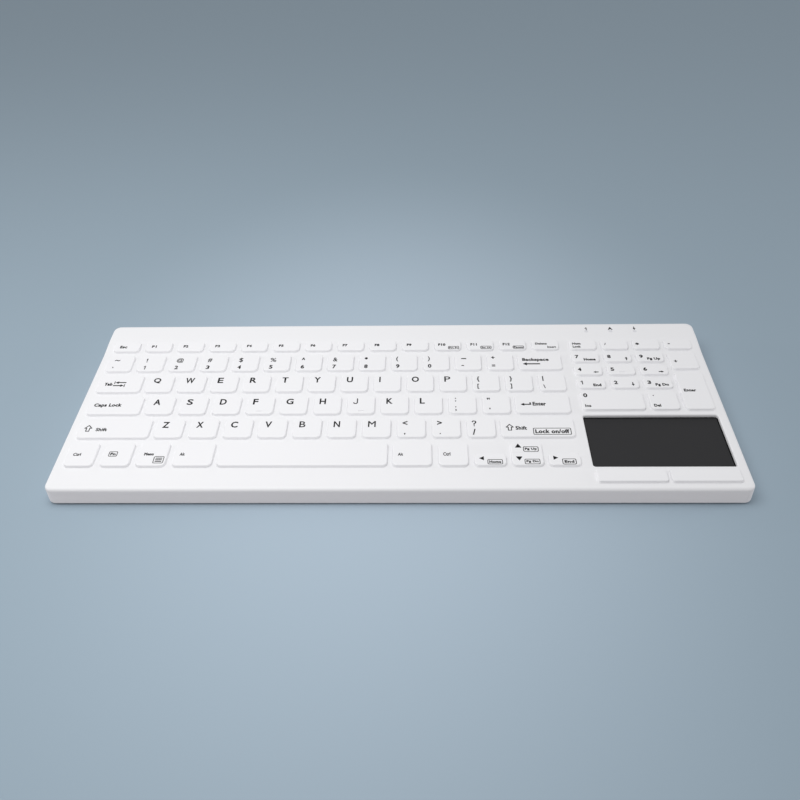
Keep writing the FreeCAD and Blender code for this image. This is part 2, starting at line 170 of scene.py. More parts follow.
def mouldedGroup():
    # Moulded surface: fine grain in the height, and slow drifts in tone and gloss from handling.
    group, entry, leave = makeGroup(
        "mouldedSurface",
        [("Colour", "NodeSocketColor", (0.8, 0.8, 0.8, 1)),
         ("Worn colour", "NodeSocketColor", (0.7, 0.7, 0.7, 1)),
         ("Drift", "NodeSocketFloat", plainLook["drift"]),
         ("Grain scale", "NodeSocketFloat", plainLook["grain"]),
         ("Gloss", "NodeSocketFloat", 0.45),
         ("Gloss drift", "NodeSocketFloat", plainLook["glossDrift"])],
        [("Colour", "NodeSocketColor"), ("Roughness", "NodeSocketFloat"), ("Height", "NodeSocketFloat")])
    nodes, links = group.nodes, group.links
    place = nodes.new("ShaderNodeTexCoord")
    slow = nodes.new("ShaderNodeTexNoise")
    slow.inputs["Scale"].default_value = noise["driftScale"]
    slow.inputs["Detail"].default_value = noise["driftDetail"]
    links.new(place.outputs["Object"], slow.inputs["Vector"])
    fine = nodes.new("ShaderNodeTexNoise")
    fine.inputs["Detail"].default_value = noise["grainDetail"]
    links.new(place.outputs["Object"], fine.inputs["Vector"])
    links.new(entry.outputs["Grain scale"], fine.inputs["Scale"])
    amount = nodes.new("ShaderNodeMath")
    amount.operation = "MULTIPLY"
    links.new(slow.outputs["Fac"], amount.inputs[0])
    links.new(entry.outputs["Drift"], amount.inputs[1])
    mix = nodes.new("ShaderNodeMix")
    mix.data_type = "RGBA"
    links.new(amount.outputs[0], mix.inputs["Factor"])
    links.new(entry.outputs["Colour"], mix.inputs["A"])
    links.new(entry.outputs["Worn colour"], mix.inputs["B"])
    links.new(mix.outputs["Result"], leave.inputs["Colour"])
    gloss = nodes.new("ShaderNodeMath")
    gloss.operation = "MULTIPLY_ADD"
    links.new(slow.outputs["Fac"], gloss.inputs[0])
    links.new(entry.outputs["Gloss drift"], gloss.inputs[1])
    links.new(entry.outputs["Gloss"], gloss.inputs[2])
    links.new(gloss.outputs[0], leave.inputs["Roughness"])
    links.new(fine.outputs["Fac"], leave.inputs["Height"])
    return group


moulded = mouldedGroup()


def mouldedMaterial(name, ownLook):
    look = plainLook | ownLook
    material = bpy.data.materials.new(name)
    material.use_nodes = True
    nodes, links = material.node_tree.nodes, material.node_tree.links
    shader = nodes["Principled BSDF"]
    surface = nodes.new("ShaderNodeGroup")
    surface.node_tree = moulded
    surface.inputs["Colour"].default_value = look["colour"]
    surface.inputs["Worn colour"].default_value = look["worn"]
    surface.inputs["Drift"].default_value = look["drift"]
    surface.inputs["Grain scale"].default_value = look["grain"]
    surface.inputs["Gloss"].default_value = look["roughness"]
    surface.inputs["Gloss drift"].default_value = look["glossDrift"]
    bump = nodes.new("ShaderNodeBump")
    bump.inputs["Strength"].default_value = look["bump"]
    bump.inputs["Distance"].default_value = look["bumpDepth"]
    links.new(surface.outputs["Colour"], shader.inputs["Base Color"])
    links.new(surface.outputs["Roughness"], shader.inputs["Roughness"])
    links.new(surface.outputs["Height"], bump.inputs["Height"])
    links.new(bump.outputs["Normal"], shader.inputs["Normal"])
    shader.inputs["Metallic"].default_value = look["metallic"]
    shader.inputs["Specular IOR Level"].default_value = look["specular"]
    shader.inputs["Coat Weight"].default_value = look["coat"]
    shader.inputs["Coat Roughness"].default_value = look["coatRoughness"]
    return material


finishes = {
    "whiteSilicone": {"colour": srgb(240, 240, 242), "worn": srgb(232, 232, 233), "roughness": 0.42,
                      "bump": 0.12},
    "lightWindow": {"colour": srgb(224, 224, 228), "worn": srgb(218, 218, 222), "roughness": 0.42},
    "keySilicone": {"colour": srgb(241, 241, 243), "worn": srgb(234, 234, 236), "roughness": 0.4},
    "keyInk": {"colour": srgb(6, 6, 8), "worn": srgb(16, 16, 18), "roughness": 0.6, "specular": 0.25},
    "touchpadBlack": {"colour": srgb(18, 18, 21), "worn": srgb(26, 26, 29), "roughness": 0.46,
                      "grain": 2600, "bump": 0.25},
    # near-black foam, darkened further as painted shade for the gap round the touchpad
    "gasketFoamAndShade": {"colour": srgb(6, 6, 7), "worn": srgb(12, 12, 13), "roughness": 0.9, "specular": 0.1,
                   "grain": 900, "bump": 0.6},
    "circuitBoard": {"colour": srgb(24, 92, 52), "worn": srgb(40, 112, 66), "roughness": 0.4, "coat": 0.5},
    "flatCable": {"colour": srgb(206, 128, 44), "worn": srgb(180, 104, 34), "roughness": 0.3, "coat": 0.4},
    "ledBody": {"colour": srgb(226, 228, 214), "worn": srgb(204, 206, 190), "roughness": 0.25,
                "coat": 0.6},
    "chipBlack": {"colour": srgb(26, 26, 28), "worn": srgb(44, 44, 46), "roughness": 0.55, "bump": 0.3},
    "crystalCan": {"colour": srgb(200, 200, 202), "worn": srgb(170, 170, 172), "roughness": 0.28,
                   "metallic": 1},
    "headerWhite": {"colour": srgb(232, 228, 214), "worn": srgb(212, 206, 190), "roughness": 0.5},
    "zincSteel": {"colour": srgb(178, 182, 186), "worn": srgb(150, 154, 158), "roughness": 0.38,
                  "metallic": 1, "grain": 300, "bump": 0.2},
    "trayPlastic": {"colour": srgb(212, 212, 212), "worn": srgb(196, 196, 196), "roughness": 0.5,
                    "bump": 0.2},
    "basePlastic": {"colour": srgb(232, 232, 233), "worn": srgb(214, 214, 215), "roughness": 0.48,
                    "grain": 700, "bump": 0.35},
    "screwSteel": {"colour": srgb(150, 150, 154), "worn": srgb(110, 110, 114), "roughness": 0.3,
                   "metallic": 1},
    "footRubber": {"colour": srgb(70, 71, 74), "worn": srgb(92, 93, 95), "roughness": 0.8, "grain": 900,
                   "bump": 0.5},
    "bushRubber": {"colour": srgb(206, 207, 210), "worn": srgb(186, 187, 190), "roughness": 0.6,
                   "bump": 0.3},
}
materials = {name: mouldedMaterial(name, look) for name, look in finishes.items()}
print("finishes made:", len(materials))


# Outlines and rings

def addOutline(bm, plan, radius, segments):
    # a rounded rectangle as one level face; plan is left, front, right, back
    left, front, right, back = plan
    size = Matrix.Diagonal((right - left, back - front, 1, 1))
    place = Matrix.Translation(((left + right) / 2, (front + back) / 2, 0))
    made = bmesh.ops.create_grid(bm, x_segments=1, y_segments=1, size=0.5, matrix=place @ size)
    bmesh.ops.bevel(bm, geom=made["verts"], offset=radius, offset_type="OFFSET", affect="VERTICES",
                    segments=segments, profile=0.5, material=-1)


def grow(plan, amount):
    left, front, right, back = plan
    return left - amount, front - amount, right + amount, back + amount


def insidePlan(point, plan):
    left, front, right, back = plan
    return left < point.x < right and front < point.y < back


cornerReach = 0.9    # a ring that goes in by more than this share of its corners' rounding shifts them


def foldRing(bm, edges, plan, radius, steps):
    # carries a ring on from an outline: each step is how far outside the plan, and at what level
    left, front, right, back = grow(plan, -radius)
    middle = Vector(((left + right) / 2, (front + back) / 2, 0))
    rays = {}
    for vert in {vert for edge in edges for vert in edge.verts}:
        centre = Vector((min(max(vert.co.x, left), right), min(max(vert.co.y, front), back), 0))
        rays[vert] = centre, (Vector((vert.co.x, vert.co.y, 0)) - centre).normalized()
    for out, level in steps:
        grown = bmesh.ops.extrude_edge_only(bm, edges=edges)["geom"]
        ring = {item for item in grown if isinstance(item, bmesh.types.BMVert)}
        short = max(0, -out - cornerReach * radius)
        nextRays = {}
        for vert in ring:
            old = next(edge.other_vert(vert) for edge in vert.link_edges if edge.other_vert(vert) in rays)
            centre, away = nextRays[vert] = rays[old]
            inward = Vector((math.copysign(short, middle.x - centre.x),
                             math.copysign(short, middle.y - centre.y), 0))
            vert.co = centre + inward + away * (radius + out + short)
            vert.co.z = level
        rays = nextRays
        edges = [item for item in grown if isinstance(item, bmesh.types.BMEdge)
                 and item.verts[0] in ring and item.verts[1] in ring]
    return edges


def roundOver(out, drop, steps, level=0):
    # the steps of a soft edge from a top face at a level down to its wall; out is below 0 for a hole
    turns = [math.pi / 2 * (i + 1) / steps for i in range(steps)]
    return [(out * math.sin(turn), level - drop * (1 - math.cos(turn))) for turn in turns]


def finishPiece(name, bm, finishNames):
    bmesh.ops.recalc_face_normals(bm, faces=bm.faces[:])
    mesh = bpy.data.meshes.new(name)
    bm.to_mesh(mesh)
    bm.free()
    for finish in finishNames:
        mesh.materials.append(materials[finish])
    mesh.polygons.foreach_set("use_smooth", [True] * len(mesh.polygons))
    piece = bpy.data.objects.new(name, mesh)
    bpy.context.scene.collection.objects.link(piece)
    even = piece.modifiers.new("evenShading", "WEIGHTED_NORMAL")
    even.keep_sharp = True
    even.weight = 100
    return piece


# The keys' plans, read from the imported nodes

keySize = {
    "corner": 2.6,           # rounding of a key in plan
    "clearance": 0.3,        # groove in front of and behind a key
    "sideClearance": 0.12,   # and beside it
    "buttonCorner": 1.5,     # the two mouse buttons have tighter corners
    "edge": 0.55,            # width of the soft rounding of its top edge
    "edgeDrop": 0.5,         # and its height
    "rise": 1.5,             # top above the deck
    "draft": 0.12,           # the wall leans out this much towards its foot
    "wallFoot": 0.18,        # level where the wall bends out into the web
    "web": -0.14,            # level of the web in the groove
    "webThickness": 0.4,
    "tuck": 0.12,            # how far the web reaches under the deck's skin
    "segments": 6,
    "arrowGap": 0.06,        # slit between the two stacked arrows
}
# window over the touchpad in the level layout: left, front, right, back
touchpad = {"plan": (102.25, -53.6, 176.25, -14.3), "corner": 1.4}
keyNodes = [body for body in frame["bodies"] if body != "body"]


def keyPlans(node):
    # each key of a node as its plan and its highest level
    onRamp = pressAngle(node) > tilt + rampAngle / 2
    bm = bmesh.new()
    bm.from_mesh(frame["nodes"][node].data)
    bmesh.ops.remove_doubles(bm, verts=bm.verts[:], dist=1e-6)
    left = set(bm.verts)
    plans = []
    while left:
        reached = [left.pop()]
        for vert in reached:
            for edge in vert.link_edges:
                other = edge.other_vert(vert)
                if other in left:
                    left.discard(other)
                    reached.append(other)
        flat = [flatPoint(vert.co, onRamp) for vert in reached]
        xs, ys = [p.x for p in flat], [p.y for p in flat]
        plans.append(((min(xs), min(ys), max(xs), max(ys)), max(p.z for p in flat)))
    bm.free()
    return sorted(plans)


plans = {node: keyPlans(node) for node in keyNodes}
print("keys found:", sum(len(group) for group in plans.values()))


# Legends. Each mark is a word with its box (left, low, right, high) or a sign with its place, in mm from the
# middle of its key.

ink = {
    "thickness": 0.06,
    "stroke": 0.5,           # line width of the signs
    "thinStroke": 0.38,      # line width of the boxes
    "spread": 0.16,          # how far printed ink makes a tall letter's outline grow
    "letterSpace": 1.07,
    "denseSpread": 0.07,     # the same for dense letters
    "smallSpread": 0.075,    # and a small one's, as a share of its height
    "narrowSpread": 0.1,     # and a narrow one's, as a share of its width
    "dense": "@#$%&PMB",     # letters with many strokes
    "sharpest": 0.6,         # keeps the spread of sharp corners short
    "fontWidth": 0.6,        # a letter's usual width over the font's size
    "smallest": 0.1,         # least width and height of a mark
    "overrun": 0.8,          # how far a line runs past its ends, as a share of its width
    "boxCut": 0.4,           # cut corners of the boxes
}


def spreadInk(bm, amount):
    # makes flat letters heavier: their outline is carried outward by the amount
    edges = [edge for edge in bm.edges if edge.is_boundary]
    away = {}
    for edge in edges:
        face = edge.link_faces[0]
        run = (edge.verts[1].co - edge.verts[0].co).normalized()
        out = run.cross(face.normal)
        if out.dot(face.calc_center_median() - edge.verts[0].co) > 0:
            out.negate()
        for vert in edge.verts:
            away.setdefault(vert, []).append(out)
    grown = bmesh.ops.extrude_edge_only(bm, edges=edges)["geom"]
    made = {item for item in grown if isinstance(item, bmesh.types.BMVert)}
    for vert in made:
        old = next(edge.other_vert(vert) for edge in vert.link_edges if edge.other_vert(vert) not in made)
        first, last = away[old][0], away[old][-1]
        middle = (first + last).normalized()
        vert.co = vert.co + middle * amount / max(ink["sharpest"], middle.dot(first))


def addWord(bm, text, box, level):
    left, low, right, high = box
    spread = min(ink["denseSpread" if text in ink["dense"] else "spread"],
                 ink["smallSpread"] * (high - low), ink["narrowSpread"] * (right - left) / len(text))
    curve = bpy.data.curves.new("word", "FONT")
    curve.body = text
    curve.size = (right - left) / ink["fontWidth"] / len(text)
    curve.space_character = ink["letterSpace"]
    curve.resolution_u = 3
    holder = bpy.data.objects.new("word", curve)
    bpy.context.scene.collection.objects.link(holder)
    bpy.context.view_layer.update()
    mesh = bpy.data.meshes.new_from_object(holder)
    bpy.data.objects.remove(holder)
    bpy.data.curves.remove(curve)
    letters = bmesh.new()
    letters.from_mesh(mesh)
    bpy.data.meshes.remove(mesh)
    bmesh.ops.remove_doubles(letters, verts=letters.verts[:], dist=1e-5)
    fitInk(letters, grow(box, -spread))
    spreadInk(letters, spread)
    grown = bmesh.ops.extrude_face_region(letters, geom=letters.faces[:])["geom"]
    for item in grown:
        if isinstance(item, bmesh.types.BMVert):
            item.co.z = -ink["thickness"]
    letters.transform(Matrix.Translation((0, 0, level + ink["thickness"] / 2)))
    joinMesh(bm, letters)


def fitInk(bm, box):
    # moves and scales flat letters into a box
    xs, ys = [vert.co.x for vert in bm.verts], [vert.co.y for vert in bm.verts]
    left, low, right, high = box
    wide = max(right - left, ink["smallest"]) / (max(xs) - min(xs))
    tall = max(high - low, ink["smallest"]) / (max(ys) - min(ys))
    bm.transform(Matrix.Translation((left, low, 0)) @ Matrix.Diagonal((wide, tall, 1, 1))
                 @ Matrix.Translation((-min(xs), -min(ys), 0)))


def joinMesh(bm, part, finishIndex=0):
    # adds one mesh to another and gives it its finish
    for face in part.faces:
        face.material_index = finishIndex
    mesh = bpy.data.meshes.new("part")
    part.to_mesh(mesh)
    part.free()
    bm.from_mesh(mesh)
    bpy.data.meshes.remove(mesh)


def addStroke(bm, start, end, level, width=None):
    # a straight ink line
    run = Vector((end[0] - start[0], end[1] - start[1], 0))
    wide = width or ink["stroke"]
    turn = Matrix.Rotation(math.atan2(run.y, run.x), 4, "Z")
    size = Matrix.Diagonal((run.length + ink["overrun"] * wide, wide, ink["thickness"], 1))
    middle = Vector(((start[0] + end[0]) / 2, (start[1] + end[1]) / 2, level))
    bmesh.ops.create_cube(bm, size=1, matrix=Matrix.Translation(middle) @ turn @ size)


def addPath(bm, points, level, width=None):
    for start, end in zip(points, points[1:]):
        addStroke(bm, start, end, level, width)


def addTriangle(bm, x, y, size, direction, level):
    # a solid arrow head that points along direction, in degrees
    turn = Matrix.Rotation(math.radians(direction), 4, "Z")
    place = Matrix.Translation((x, y, level)) @ turn
    bmesh.ops.create_cone(bm, cap_ends=True, segments=3, radius1=size, radius2=size,
                          depth=ink["thickness"], matrix=place @ Matrix.Rotation(-math.pi / 2, 4, "Z"))


def addArrow(bm, x, y, length, direction, level, head, width):
    # an arrow with a solid head; x, y is its middle
    turn = Vector((math.cos(math.radians(direction)), math.sin(math.radians(direction))))
    middle = Vector((x, y))
    tip = middle + turn * length / 2
    addStroke(bm, middle - turn * length / 2, tip - turn * head, level, width)
    addTriangle(bm, *(tip - turn * head), head, direction, level)


def addFrame(bm, x, y, width, height, level):
    # a thin box round a word, with its corners cut
    w, h, cut = width / 2, height / 2, ink["boxCut"]
    points = [(-w + cut, -h), (w - cut, -h), (w, -h + cut), (w, h - cut), (w - cut, h), (-w + cut, h),
              (-w, h - cut), (-w, -h + cut), (-w + cut, -h)]
    addPath(bm, [(x + px, y + py) for px, py in points], level, ink["thinStroke"])


def addShiftSign(bm, x, y, level):
    # hollow arrow up
    points = [(-0.85, -2.3), (0.85, -2.3), (0.85, 0.1), (1.9, 0.1), (0, 2.3), (-1.9, 0.1), (-0.85, 0.1),
              (-0.85, -2.3)]
    addPath(bm, [(x + px, y + py) for px, py in points], level)


def addTabSign(bm, x, y, level):
    # two arrows that meet a bar each
    addArrow(bm, x + 0.3, y + 1.35, 6.0, 180, level, head=1.3, width=0.8)
    addStroke(bm, (x - 3.1, y + 0.4), (x - 3.1, y + 2.3), level)
    addArrow(bm, x - 0.3, y - 1.35, 6.0, 0, level, head=1.3, width=0.8)
    addStroke(bm, (x + 3.1, y - 2.3), (x + 3.1, y - 0.4), level)


def addEnterSign(bm, x, y, level):
    # an arrow left with its tail turned up
    addArrow(bm, x, y, 5.6, 180, level, head=1.35, width=0.8)
    addStroke(bm, (x + 2.6, y), (x + 2.6, y + 1.3), level, width=0.8)


def arc(x, y, wide, tall, turns):
    # points of an oval's part; the turns are in degrees
    return [(x + wide * math.cos(math.radians(turn)), y + tall * math.sin(math.radians(turn)))
            for turn in turns]


def addQuestionSign(bm, x, y, level):
    hook = arc(x, y + 1.0, 0.95, 0.95, (165, 135, 105, 75, 45, 15, -15, -45))
    addPath(bm, hook + [(x, y - 0.25), (x, y - 0.85)], level, width=0.62)
    addStroke(bm, (x, y - 1.9), (x, y - 1.9), level, width=0.72)


def addOne(bm, x, y, height, level):
    # the digit 1 with its flag; x, y is its middle
    top = height / 2 - 0.25
    addPath(bm, [(x - 0.55, y + top - 0.65), (x + 0.15, y + top), (x + 0.15, y - top)], level, width=0.52)


def addHook(bm, x, y, level):
    # the letter J; x, y is its middle
    bowl = arc(x + 0.05, y - 1.05, 1.0, 0.98, (0, -30, -60, -90, -120, -150, -170))
    addPath(bm, [(x + 1.05, y + 2.1)] + bowl, level, width=0.6)


def addMenuSign(bm, x, y, level):
    # small list in a box
    addFrame(bm, x, y, 5.2, 4.8, level)
    for step in (-1.2, 0, 1.2):
        addStroke(bm, (x - 1.5, y + step), (x + 1.5, y + step), level, width=0.62)


signs = {
    "shift": addShiftSign,
    "tab": addTabSign,
    "enter": addEnterSign,
    "menu": addMenuSign,
    "left": lambda bm, x, y, level: addTriangle(bm, x, y, 1.7, 180, level),
    "right": lambda bm, x, y, level: addTriangle(bm, x, y, 1.7, 0, level),
    "up": lambda bm, x, y, level: addTriangle(bm, x, y, 2.0, 90, level),
    "down": lambda bm, x, y, level: addTriangle(bm, x, y, 2.0, 270, level),
    "longLeft": lambda bm, x, y, level: addArrow(bm, x, y, 9.8, 180, level, head=1.6, width=0.95),
    "thinLeft": lambda bm, x, y, level: addArrow(bm, x, y, 2.7, 180, level, head=1.0, width=0.7),
    "thinRight": lambda bm, x, y, level: addArrow(bm, x, y, 2.7, 0, level, head=1.0, width=0.7),
    "thinUp": lambda bm, x, y, level: addArrow(bm, x, y, 2.9, 90, level, head=1.0, width=0.6),
    "thinDown": lambda bm, x, y, level: addArrow(bm, x, y, 2.9, 270, level, head=1.0, width=0.6),
    "question": addQuestionSign,
    "hook": addHook,
    "one": lambda bm, x, y, level: addOne(bm, x, y, 3.3, level),
    "lowOne": lambda bm, x, y, level: addOne(bm, x, y, 2.8, level),
}


def sign(name, x, y):
    return "sign", name, (x, y)


def word(text, left, low, right, high):
    return "word", text, (left, low, right, high)


def boxed(text, left, low, right, high, around):
    return "boxed", text, (left, low, right, high), around


# printed widths of the letters and signs, in mm
letterWidths = dict(zip("QWERTYUIOPASDFGHJKLZXCVBNM", (
    4.3, 5.2, 3.3, 3.8, 3.5, 3.5, 3.6, 0.8, 4.2, 3.5,
    3.8, 3.5, 3.8, 2.9, 4.1, 3.6, 2.5, 3.5, 2.8,
    3.5, 3.5, 3.8, 3.6, 3.4, 3.5, 4.2)))
# low, high and width of the marks that share a key
upperSigns = {"~": (1.9, 3.1, 3.2), "!": (0.6, 4.1, 0.8), "@": (-0.1, 4.3, 4.2), "#": (0.4, 4.1, 2.5),
              "$": (-0.1, 4.3, 2.4), "%": (0.3, 4.0, 3.6), "^": (1.9, 4.1, 1.9), "&": (0.3, 4.0, 2.6),
              "*": (1.9, 4.2, 1.9), "(": (-0.1, 4.5, 1.2), ")": (-0.1, 4.5, 1.2), "_": (1.8, 2.6, 3.0),
              "+": (1.9, 4.2, 2.2), "{": (-0.3, 4.4, 1.4), "}": (-0.3, 4.4, 1.4), "|": (0.1, 4.4, 0.6),
              ":": (1.5, 4.7, 0.7), "\"": (3.0, 4.5, 1.7), "<": (1.4, 4.5, 2.7), ">": (1.4, 4.5, 2.7),
              "?": (0.1, 4.6, 2.6)}
lowerSigns = {"`": (-4.7, -3.6, 1.0), "-": (-4.7, -4.0, 1.5), "=": (-5.4, -3.7, 2.0),
              "[": (-6.6, -2.2, 1.0), "]": (-6.6, -2.2, 1.0), "\\": (-6.4, -3.2, 1.1),
              ";": (-6.6, -2.5, 0.7), "'": (-5.2, -4.0, 0.7), ",": (-6.4, -5.0, 0.8),
              ".": (-6.0, -5.2, 0.7), "/": (-6.6, -2.0, 1.6)}
digit = (-6.2, -2.8, 2.1)
# how far the narrow ones stand in from the others' left edge
insets = {"_": 1.0, "-": 1.0, ":": 0.9, ";": 0.9, "'": 0.9, ",": 0.9, ".": 1.3, "/": 0.3}
markLeft = -4.0
letterRow = {"low": -0.15, "high": 4.6, "hook": (-2.55, 2.2)}
oneKey = {"left": -3.5, "middle": -3.0}        # the digit 1 and the sign over it
functionRow = {"left": -4.3, "low": -1.25, "high": 0.85, "letter": 1.45}
padDigit = {"box": (-6.1, -1.45, -4.0, 1.6), "one": (-5.3, 0.1)}
# the printing runs a little narrower than the keys, so it shifts from key to key
printShift = {"across": -0.0058, "along": 0.002, "from": -147}


def drift(x):
    away = x - printShift["from"]
    return printShift["across"] * away, printShift["along"] * away


def letterMark(letter):
    if letter == "J":
        return sign("hook", *letterRow["hook"])
    return word(letter, markLeft, letterRow["low"], markLeft + letterWidths[letter], letterRow["high"])


def letterMarks(letters):
    return [[letterMark(letter)] for letter in letters]


def pairMarks(pairs):
    marks = []
    for upper, lower in pairs:
        low, high, wide = upperSigns[upper]
        low2, high2, wide2 = lowerSigns.get(lower, digit)
        left = oneKey["left"] if lower == "1" else markLeft + insets.get(upper, 0)
        left2 = markLeft + insets.get(lower, 0)
        first = word(upper, left, low, left + wide, high)
        second = word(lower, left2, low2, left2 + wide2, high2)
        if upper == "?":
            first = sign("question", left + wide / 2, (low + high) / 2)
        if lower == "1":
            second = sign("one", oneKey["middle"], (low2 + high2) / 2)
        marks.append([first, second])
    return marks


def functionMarks(words):
    left, letter = functionRow["left"], functionRow["letter"]
    return [[word(text, left, functionRow["low"], left + letter * len(text), functionRow["high"])]
            for text in words]


def padMarks(marks):
    return [[sign("one", *padDigit["one"]) if text == "1" else word(text, *padDigit["box"])] + extra
            for text, extra in marks]


legends = {
    "key_escape": [[word("Esc", -4.4, -1.6, 0.0, 0.7)]],
    "keys_f1_to_f4": functionMarks(["F1", "F2", "F3", "F4"]),
    "keys_f5_to_f8": functionMarks(["F5", "F6", "F7", "F8"]),
    "keys_f9_to_f12": functionMarks(["F9"]) + [
        [word(text, -4.7, -1.35, -4.7 + wide, 0.85), boxed(other, 1.9, -3.7, 7.3, -2.35, 0.45)]
        for text, wide, other in (("F10", 4.4, "Prt Sc"), ("F11", 3.9, "Scr Lk"), ("F12", 4.3, "Pause"))],
    "key_delete": [[word("Delete", -4.6, -0.9, 2.4, 0.9), word("Insert", 2.5, -3.9, 7.7, -2.1)]],
    "keys_grave_to_4": pairMarks([("~", "`"), ("!", "1"), ("@", "2"), ("#", "3"), ("$", "4")]),
    "keys_5_to_8": pairMarks([("%", "5"), ("^", "6"), ("&", "7"), ("*", "8")]),
    "keys_9_to_equals": pairMarks([("(", "9"), (")", "0"), ("_", "-"), ("+", "=")]),
    "key_backspace": [[word("Backspace", -8.9, -1.2, 6.7, 2.2), sign("longLeft", -4.0, -3.2)]],
    "key_tab": [[word("Tab", -9.2, -2.0, -4.4, 0.6), sign("tab", -0.3, -0.6)]],
    "keys_q_to_t": letterMarks("QWERT"),
    "keys_y_to_p": letterMarks("YUIOP"),
    "keys_brackets": pairMarks([("{", "["), ("}", "]"), ("|", "\\")]),
    "key_caps_lock": [[word("Caps Lock", -12.2, -2.1, 3.5, 1.35)]],
    "keys_a_to_g": letterMarks("ASDFG"),
    "keys_h_to_quote": letterMarks("HJKL") + pairMarks([(":", ";"), ("\"", "'")]),
    "key_enter": [[sign("enter", -8.2, -1.2), word("Enter", -4.3, -2.3, 3.1, 0.8)]],
    "key_shift_left": [[sign("shift", -14.6, -0.3), word("Shift", -10.1, -2.6, -3.9, 0.0)]],
    "keys_z_to_b": letterMarks("ZXCVB"),
    "keys_n_to_slash": letterMarks("NM") + pairMarks([("<", ","), (">", "."), ("?", "/")]),
    "key_shift_right": [[sign("shift", -13.8, -0.9), word("Shift", -10.7, -2.9, -4.6, 0.0),
                         boxed("Lock on/off", -0.3, -5.7, 18.0, -2.6, 0.9)]],
    "key_ctrl_left": [[word("Ctrl", -4.5, -1.5, -0.4, 0.7)]],
    "key_fn": [[boxed("Fn", -3.8, -1.2, -0.9, 0.8, 0.7)]],
    "key_system": [[word("Menu", -4.5, -1.4, 0.6, 0.7), sign("menu", 4.1, -4.6)]],
    "key_alt_left": [[word("Alt", -7.2, -1.65, -4.6, 0.55)]],
    "key_space": [[]],
    "key_alt_right": [[word("Alt", -6.6, -2.2, -3.9, -0.1)]],
    "key_ctrl_right": [[word("Ctrl", -4.3, -2.3, -0.5, 0.2)]],
    "key_arrow_left": [[sign("left", -3.1, 0.1), boxed("Home", 0.4, -3.4, 6.6, -1.6, 0.7)]],
    "key_arrow_down": [[sign("down", -3.2, 0.3), boxed("Pg Dn", 0.3, -3.4, 6.6, -1.4, 0.7)]],
    "key_arrow_up": [[sign("up", -3.1, -0.3), boxed("Pg Up", 0.3, -3.4, 6.6, -1.4, 0.7)]],
    "key_arrow_right": [[sign("right", -3.7, 0.3), boxed("End", 0.9, -3.4, 6.0, -1.5, 0.9)]],
    "keys_pad_top": [[word("Num", -6.2, -0.6, -1.2, 1.2), word("Lock", -6.2, -3.3, -1.4, -1.5)],
                     [word("/", -6.0, -1.1, -5.0, 0.8)],
                     [word("*", -6.3, -1.3, -4.2, 0.9)],
                     [word("-", -5.9, -0.6, -4.7, 0.1)]],
    "keys_pad_7_to_9": padMarks([("7", [word("Home", -1.3, -3.7, 5.7, -1.4)]),
                                 ("8", [sign("thinUp", 4.9, -1.8)]),
                                 ("9", [word("Pg Up", -1.9, -3.8, 5.7, -1.0)])]),
    "keys_pad_4_to_6": padMarks([("4", [sign("thinLeft", 4.0, -2.4)]), ("5", []),
                                 ("6", [sign("thinRight", 4.0, -2.3)])]),
    "keys_pad_1_to_3": padMarks([("1", [word("End", 0.8, -3.2, 5.4, -0.9)]),
                                 ("2", [sign("thinDown", 4.5, -1.5)]),
                                 ("3", [word("Pg Dn", -1.9, -3.6, 5.6, -0.8)])]),
    "key_pad_0": [[word("0", -15.8, 2.4, -13.5, 5.8), word("Ins", -15.9, -5.8, -12.6, -3.6)]],
    "key_pad_point": [[word(".", -5.5, 3.4, -4.8, 4.1), word("Del", -6.3, -5.8, -2.5, -3.5)]],
    "key_pad_plus": [[word("+", -5.8, -2.3, -3.7, -0.2)]],
    "key_pad_enter": [[word("Enter", -6.0, -1.6, 0.8, 0.8)]],
    "mouse_button_left": [[]],
    "mouse_button_right": [[]],
}


def addMark(bm, mark, x, y, level):
    kind, what, place = mark[:3]
    if kind == "sign":
        signs[what](bm, x + place[0], y + place[1], level)
        return
    left, low, right, high = place
    box = (x + left, y + low, x + right, y + high)
    addWord(bm, what, box, level)
    if kind == "boxed":
        left, low, right, high = grow(box, mark[3])
        addFrame(bm, (left + right) / 2, (low + high) / 2, right - left, high - low, level)


# Keys

def cornerOf(plan):
    # the mouse buttons are the only keys in front of the touchpad
    return keySize["buttonCorner"] if plan[3] < touchpad["plan"][1] else keySize["corner"]


def addKey(bm, plan):
    # cap with a rounded top edge, its wall, and the thin web that joins it to the deck's skin
    size = keySize
    wall = size["edge"] + size["draft"]
    foot = wall + size["clearance"] + size["tuck"]
    top = grow(plan, -wall)
    radius = cornerOf(plan) - size["edge"]
    addOutline(bm, top, radius, size["segments"])
    for vert in bm.verts:
        vert.co.z = size["rise"]
    steps = roundOver(size["edge"], size["edgeDrop"], size["segments"], size["rise"])
    steps += [(wall, size["wallFoot"]), (foot, size["web"]), (foot, size["web"] - size["webThickness"])]
    bmesh.ops.edgeloop_fill(bm, edges=foldRing(bm, bm.edges[:], top, radius, steps))


def restInk(bm, plan):
    # lets print that reaches over the rounded edge lie on it
    size = keySize
    radius = size["corner"] - size["edge"]
    left, front, right, back = grow(plan, -size["edge"] - size["draft"] - radius)
    for vert in bm.verts:
        x, y = vert.co.x, vert.co.y
        over = math.hypot(x - min(max(x, left), right), y - min(max(y, front), back)) - radius
        if over > 0:
            vert.co.z -= size["edgeDrop"] * (1 - math.sqrt(max(0, 1 - (over / size["edge"]) ** 2)))


# homing bump; a packed key that stands "shown" higher than the others carries one
bump = {"length": 3.3, "width": 0.8, "height": 0.4, "round": 0.14, "setback": 2.4, "shown": 0.1}


